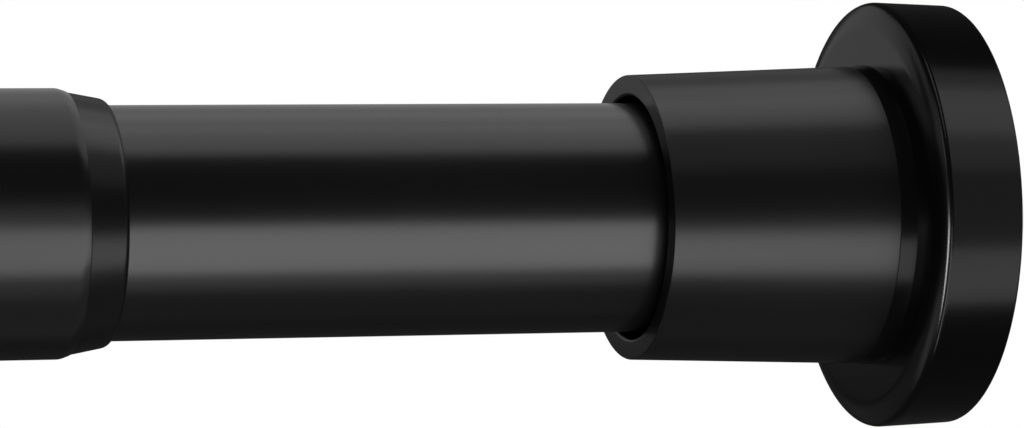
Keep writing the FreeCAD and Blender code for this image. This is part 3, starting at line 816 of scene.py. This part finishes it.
POWDER_COAT = make_material(
    "black powder coat", colour=grey(0.0036), darker=grey(0.0030), worn=grey(0.008), dust=grey(0.02),
    roughness=(0.26, 0.28), skin=(900.0, 3200.0, 0.3, 0.002 * MM))
SATIN_PLASTIC = make_material(
    "black satin plastic", colour=grey(0.0046), darker=grey(0.0038), worn=grey(0.009), dust=grey(0.02),
    roughness=(0.28, 0.31), skin=(1200.0, 4200.0, 0.5, 0.002 * MM))
GLOSS_PLASTIC = make_material(
    "black gloss plastic", colour=grey(0.0016), darker=grey(0.0013), worn=grey(0.005), dust=grey(0.02),
    roughness=(0.20, 0.22), skin=(500.0, 3000.0, 0.2, 0.001 * MM))
RUBBER = make_material(
    "black rubber", colour=grey(0.011), darker=grey(0.009), worn=grey(0.02), dust=grey(0.05),
    roughness=(0.62, 0.72), skin=(1600.0, 5200.0, 0.8, 0.01 * MM))
NATURAL_PLASTIC = make_material(
    "natural plastic", colour=(0.70, 0.69, 0.64), darker=(0.64, 0.63, 0.58), worn=(0.78, 0.77, 0.73),
    dust=(0.4, 0.39, 0.37), roughness=(0.38, 0.46), skin=(800.0, 3600.0, 0.4, 0.005 * MM))
ZINC_STEEL = make_material(
    "bright zinc plate", colour=(0.60, 0.61, 0.63), darker=(0.52, 0.53, 0.56), worn=grey(0.75),
    dust=(0.3, 0.3, 0.29), roughness=(0.24, 0.34), skin=(1400.0, 5000.0, 0.6, 0.003 * MM), metallic=1.0,
    streaks=0.06)
SPRING_STEEL = make_material(
    "drawn spring wire", colour=(0.30, 0.30, 0.32), darker=(0.24, 0.24, 0.26), worn=(0.45, 0.45, 0.46),
    dust=(0.2, 0.2, 0.19), roughness=(0.30, 0.40), skin=(1400.0, 5000.0, 0.6, 0.004 * MM), metallic=1.0,
    streaks=0.06)


# The pieces, each on its body

def dress(piece, body, material, replaced):
    """Finishes a new piece: its surface, its finish, its body and the node that it stands for."""
    finish_surface(piece)
    piece.data.materials.clear()
    piece.data.materials.append(material)
    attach(piece, body)
    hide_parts(replaced)


def dress_node(node, material):
    """Gives a carried-over node its finish."""
    cad = frame["nodes"][node]
    cad.data.materials.clear()
    cad.data.materials.append(material)


dress(make_outer_tube(), "fixed_body", POWDER_COAT, "outer_tube")
dress(make_collar(), "fixed_body", SATIN_PLASTIC, "tube_collar")
dress(make_inner_tube(), "drawn_body", POWDER_COAT, "inner_tube")

FEET = (
    ("fixed", fixed, "fixed_body", FIXED_SLEEVE_RADIUS),
    ("sprung", sprung, "foot_body", SPRUNG_SLEEVE_RADIUS),
)
for end, place, body, base_radius in FEET:
    dress(make_sleeve(end + "_sleeve", place, base_radius), body, SATIN_PLASTIC,
          end + "_foot_sleeve")
    dress(make_flange(end + "_flange", place, base_radius), body, GLOSS_PLASTIC,
          end + "_foot_flange")
    dress(make_pad(end + "_pad", place), body, RUBBER, end + "_foot_pad")
    dress(make_foot_screw(end + "_screw", place), body, ZINC_STEEL, end + "_foot_screw")
dress(make_spindle(), "drawn_body", ZINC_STEEL, "lock_spindle")
dress(make_nut(), "drawn_body", ZINC_STEEL, "lock_end_nut")

for node in ("fixed_end_plug", "guide_bush", "spring_stop_plug", "lock_plug", "lock_jaw", "lock_cone"):
    dress_node(node, NATURAL_PLASTIC)
for node in ("fixed_foot_washer", "sprung_foot_washer", "lock_thrust_washer", "spring_washer", "plunger_rod",
             "guide_bush_pins", "lock_plug_pins"):
    dress_node(node, ZINC_STEEL)
dress_node("plunger_clip", SPRING_STEEL)

# The foot spring, with a mesh of its own
foot_spring = make_foot_spring()
dress(foot_spring, "drawn_body", SPRING_STEEL, "foot_spring")
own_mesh(foot_spring)


# Camera

CAMERA_AZIMUTH = math.radians(17.27)
CAMERA_ELEVATION = math.radians(0.57)
CAMERA_ROLL = math.radians(-0.45)
CAMERA_DISTANCE = 0.4614
CAMERA_LENS = 169.85
SENSOR_WIDTH = 36.0
CAMERA_NEAR = 0.01
CAMERA_FAR = 20
TARGET_FROM_MOUTH = -0.01168
TARGET_HEIGHT = 0.00045


def make_camera():
    """Long lens at the photograph's angle, aimed just left of the sprung sleeve's mouth."""
    forward = Vector((
        math.sin(CAMERA_AZIMUTH) * math.cos(CAMERA_ELEVATION),
        math.cos(CAMERA_AZIMUTH) * math.cos(CAMERA_ELEVATION),
        -math.sin(CAMERA_ELEVATION),
    ))
    level = Vector((math.cos(CAMERA_AZIMUTH), -math.sin(CAMERA_AZIMUTH), 0))
    upright = level.cross(forward)
    right = level * math.cos(CAMERA_ROLL) + upright * math.sin(CAMERA_ROLL)
    up = upright * math.cos(CAMERA_ROLL) - level * math.sin(CAMERA_ROLL)
    target = Vector((sprung(MOUTH_END) + TARGET_FROM_MOUTH, 0, TARGET_HEIGHT))
    data = bpy.data.cameras.new("camera")
    data.sensor_width = SENSOR_WIDTH
    data.lens = CAMERA_LENS
    data.clip_start = CAMERA_NEAR
    data.clip_end = CAMERA_FAR
    camera = bpy.data.objects.new("camera", data)
    bpy.context.scene.collection.objects.link(camera)
    turn = Matrix((right, up, -forward)).transposed().to_4x4()
    camera.matrix_world = Matrix.Translation(target - forward * CAMERA_DISTANCE) @ turn
    bpy.context.scene.camera = camera


make_camera()


# Light and surroundings

MIDDLE = ROD_LENGTH / 2
LAMP_DISTANCE = 0.7
AMBIENT = 0.15
DRAPE_DISTANCE = 1.3
DRAPE_LENGTH = 4
DRAPE_SIDES = 64
DRAPE_GLOW = 0.033
FLOOR_HEIGHT = -0.25
FLOOR_RADIUS = 1.2
FLOOR_FADE = 0.5
FLOOR_COLOUR = (0.8, 0.8, 0.8, 1)
FLOOR_ROUGHNESS = 0.9
SUN_STRENGTH = 3.7
SUN_ANGLE = math.radians(9)
SUN_TURN = (math.radians(-14), math.radians(10), 0)


def strip_light(name, elevation, x_start, x_end, width, radiance, lit):
    """Long soft box along the rod that lights one collection of pieces.

    Its elevation turns from the front over the top to the back."""
    length = x_end - x_start
    data = bpy.data.lights.new(name, "AREA")
    data.shape = "RECTANGLE"
    data.size = length
    data.size_y = width
    data.energy = radiance * math.pi * length * width
    light = bpy.data.objects.new(name, data)
    bpy.context.scene.collection.objects.link(light)
    angle = math.radians(elevation)
    middle = Vector(((x_start + x_end) / 2, 0, 0))
    along = Vector((1, 0, 0))
    outward = Vector((0, -math.cos(angle), math.sin(angle)))
    turn = Matrix((along, outward.cross(along), outward)).transposed().to_4x4()
    light.matrix_world = Matrix.Translation(middle + outward * LAMP_DISTANCE) @ turn
    light.visible_camera = False
    light.light_linking.receiver_collection = lit
    return light


def make_floor_sun(lit):
    """Even light for the floor alone, which leaves the rod's soft shadow on it."""
    data = bpy.data.lights.new("floor_sun", "SUN")
    data.energy = SUN_STRENGTH
    data.angle = SUN_ANGLE
    sun = bpy.data.objects.new("floor_sun", data)
    bpy.context.scene.collection.objects.link(sun)
    sun.rotation_euler = SUN_TURN
    sun.light_linking.receiver_collection = lit


def receivers(name, endings):
    """Collection of the pieces that a lamp lights, picked by the ends of their names."""
    collection = bpy.data.collections.new(name)
    for piece in bpy.data.objects:
        if piece.name.endswith(endings):
            collection.objects.link(piece)
    return collection


def backdrop_factor(tree):
    """1 where a camera, glossy or transmission ray looks at the background."""
    rays = tree.nodes.new("ShaderNodeLightPath")
    both = maths(tree, "MAXIMUM", rays.outputs["Is Camera Ray"], rays.outputs["Is Glossy Ray"])
    return maths(tree, "MAXIMUM", both, rays.outputs["Is Transmission Ray"])


def make_world():
    """White behind the object, and a plain dim fill for the rest."""
    world = bpy.data.worlds.new("studio")
    bpy.context.scene.world = world
    world.use_nodes = True
    tree = world.node_tree
    tree.nodes.clear()
    white = tree.nodes.new("ShaderNodeBackground")
    white.inputs["Color"].default_value = (1, 1, 1, 1)
    white.inputs["Strength"].default_value = 1.0
    fill = tree.nodes.new("ShaderNodeBackground")
    fill.inputs["Color"].default_value = (1, 1, 1, 1)
    fill.inputs["Strength"].default_value = AMBIENT
    mix = tree.nodes.new("ShaderNodeMixShader")
    output = tree.nodes.new("ShaderNodeOutputWorld")
    tree.links.new(backdrop_factor(tree), mix.inputs[0])
    tree.links.new(fill.outputs[0], mix.inputs[1])
    tree.links.new(white.outputs[0], mix.inputs[2])
    tree.links.new(mix.outputs[0], output.inputs["Surface"])
    world.cycles.sampling_method = "NONE"


def make_floor():
    """Pale floor well below the rod that fades into the white before its edge."""
    bpy.ops.object.select_all(action="DESELECT")
    bpy.ops.mesh.primitive_circle_add(vertices=FINE_STEPS, radius=FLOOR_RADIUS, fill_type="NGON",
                                      location=(MIDDLE, 0, FLOOR_HEIGHT))
    floor = bpy.context.object
    floor.name = "floor"
    floor.visible_glossy = False
    floor.visible_shadow = False
    material = bpy.data.materials.new("pale floor")
    material.use_nodes = True
    tree = material.node_tree
    shader = tree.nodes["Principled BSDF"]
    shader.inputs["Base Color"].default_value = FLOOR_COLOUR
    shader.inputs["Roughness"].default_value = FLOOR_ROUGHNESS
    shader.inputs["Specular IOR Level"].default_value = 0.0
    reach = tree.nodes.new("ShaderNodeVectorMath")
    reach.operation = "LENGTH"
    tree.links.new(tree.nodes.new("ShaderNodeTexCoord").outputs["Object"], reach.inputs[0])
    tree.links.new(ramp(tree, reach.outputs["Value"], (FLOOR_RADIUS, FLOOR_FADE)), shader.inputs["Alpha"])
    floor.data.materials.append(material)


def glow_only(thing, name, glow):
    """Makes a studio card of even glow that only reflections see."""
    thing.visible_camera = False
    thing.visible_diffuse = False
    thing.visible_transmission = False
    thing.visible_shadow = False
    thing.visible_volume_scatter = False
    material = bpy.data.materials.new(name)
    material.use_nodes = True
    tree = material.node_tree
    tree.nodes.clear()
    emission = tree.nodes.new("ShaderNodeEmission")
    emission.inputs["Strength"].default_value = glow
    output = tree.nodes.new("ShaderNodeOutputMaterial")
    tree.links.new(emission.outputs[0], output.inputs["Surface"])
    material.cycles.emission_sampling = "NONE"
    thing.data.materials.append(material)


def make_drape():
    """Black drape round the set that only reflections see, as a studio hangs to keep black gloss black."""
    bpy.ops.object.select_all(action="DESELECT")
    bpy.ops.mesh.primitive_cylinder_add(vertices=DRAPE_SIDES, radius=DRAPE_DISTANCE, depth=DRAPE_LENGTH,
                                        end_fill_type="NGON", location=(MIDDLE, 0, 0), rotation=(0, math.pi / 2, 0))
    drape = bpy.context.object
    drape.name = "drape"
    glow_only(drape, "black drape", DRAPE_GLOW)


def make_card(name, middle, width, height, turn, glow):
    """Grey card at the back of the set, or turned to face along the rod, for the faces that mirror it."""
    bpy.ops.object.select_all(action="DESELECT")
    bpy.ops.mesh.primitive_plane_add(size=1, location=middle, rotation=(math.pi / 2, 0, math.radians(turn)))
    card = bpy.context.object
    card.name = name
    card.scale = (width, height, 1)
    glow_only(card, name, glow)


make_world()
make_floor()
make_drape()

# Name, middle, width, height, turn in degrees, glow
CARDS = (
    ("high_card", (0.05, 1.0, 0.24), 0.50, 0.52, 0, 0.34),
    ("low_card", (-0.15, 1.0, -0.40), 0.90, 0.40, 0, 0.07),
    ("high_side_card", (-0.31, 1.0, 0.45), 0.22, 0.50, 0, 0.32),
    ("far_high_card", (-0.90, 1.0, 0.65), 0.96, 0.30, 0, 0.30),
    ("low_side_card", (-1.10, 1.0, -0.64), 0.95, 0.42, 0, 0.40),
    ("upper_end_card", (-1.6, 0.75, 0.85), 1.1, 0.95, 90, 0.35),
    ("lower_end_card", (-1.6, 0.75, -0.90), 1.1, 0.80, 90, 0.35),
)
for card in CARDS:
    make_card(*card)

DISCS = receivers("lit_discs", ("_flange", "_pad"))
SLEEVES = receivers("lit_sleeves", ("_sleeve",))
NOSE = receivers("lit_nose", ("_nose",))
SATIN = receivers("lit_satin", ("_sleeve", "_nose"))
EDGE = receivers("lit_edge", ("sprung_flange",))
FIXED_PAD = receivers("lit_pad", ("fixed_pad",))
FLOOR = receivers("lit_floor", ("floor",))
OUTER = receivers("lit_outer", ("outer_steel",))
INNER = receivers("lit_inner", ("inner_steel", "spindle_steel", "_nut", "_screw", "_plug", "_bush", "_jaw", "_cone",
                                "_washer", "_rod", "_pins", "_spring", "_clip"))

# Name, elevation, start and end along the rod, width, radiance, lit pieces
LAMPS = (
    ("tube_low_box", -27, 0.25, 1.5, 0.61, 3.05, INNER),
    ("tube_foot_box", -60, 0.25, 1.5, 0.20, 0.45, INNER),
    ("tube_top_box", 87, -0.4, 1.5, 0.45, 1.25, INNER),
    ("tube_high_box", 118.5, -0.4, 1.5, 0.39, 0.96, INNER),
    ("tube_back_box", 155, -0.4, 1.5, 0.51, 0.48, INNER),
    ("tube_under_box", -78, -0.4, 1.5, 0.90, 0.05, INNER),
    ("outer_low_box", -23.5, 0.25, 1.5, 0.50, 2.6, OUTER),
    ("outer_foot_box", -56, 0.25, 1.5, 0.20, 0.25, OUTER),
    ("outer_mid_box", 5, 0.25, 1.5, 0.25, 0.45, OUTER),
    ("outer_top_box", 87, -0.4, 1.5, 0.45, 0.88, OUTER),
    ("outer_high_box", 120, -0.4, 1.5, 0.38, 0.78, OUTER),
    ("outer_back_box", 155, -0.4, 1.5, 0.51, 0.48, OUTER),
    ("outer_under_box", -78, -0.4, 1.5, 0.90, 0.12, OUTER),
    ("sleeve_low_box", -28, 0.25, 1.5, 0.43, 2.5, SLEEVES),
    ("nose_low_box", -28, 0.25, 1.5, 0.38, 1.5, NOSE),
    ("satin_top_box", 89, -0.4, 1.5, 0.38, 1.15, SATIN),
    ("satin_high_box", 114, -0.4, 1.5, 0.30, 0.72, SATIN),
    ("satin_back_box", 143, -0.4, 1.5, 0.46, 0.16, SATIN),
    ("satin_shoulder_box", 52, -0.4, 1.5, 0.36, 0.24, SATIN),
    ("satin_under_box", -80, -0.4, 1.5, 0.90, 0.05, SATIN),
    ("disc_low_box", -33.5, 0.25, 1.5, 0.39, 1.0, DISCS),
    ("disc_front_box", 2, 0.6, 1.6, 0.48, 0.20, DISCS),
    ("disc_shoulder_box", 35, 0.6, 1.6, 0.29, 0.43, DISCS),
    ("disc_top_box", 58.5, 0.6, 1.6, 0.33, 0.93, DISCS),
    ("disc_high_box", 78, 0.6, 1.6, 0.17, 0.36, DISCS),
    ("near_kicker", -40, 0.12, 0.24, 0.93, 2.5, EDGE),
    ("far_kicker", -40, -3.0, -0.55, 0.93, 13.0, EDGE),
    ("upper_kicker", 66, -3.0, -0.55, 0.60, 0.7, EDGE),
    ("upper_near_kicker", 66, 0.12, 0.26, 0.60, 0.95, EDGE),
    ("pad_box", 20, -1.2, -0.3, 0.50, 1.2, FIXED_PAD),
)
for *box, lit in LAMPS:
    lamp = strip_light(*box, lit)
    # The kickers only draw the bright line on the disc's edge and leave its face dark
    lamp.visible_diffuse = lit is not EDGE
make_floor_sun(FLOOR)

bpy.context.scene.view_settings.view_transform = "Standard"
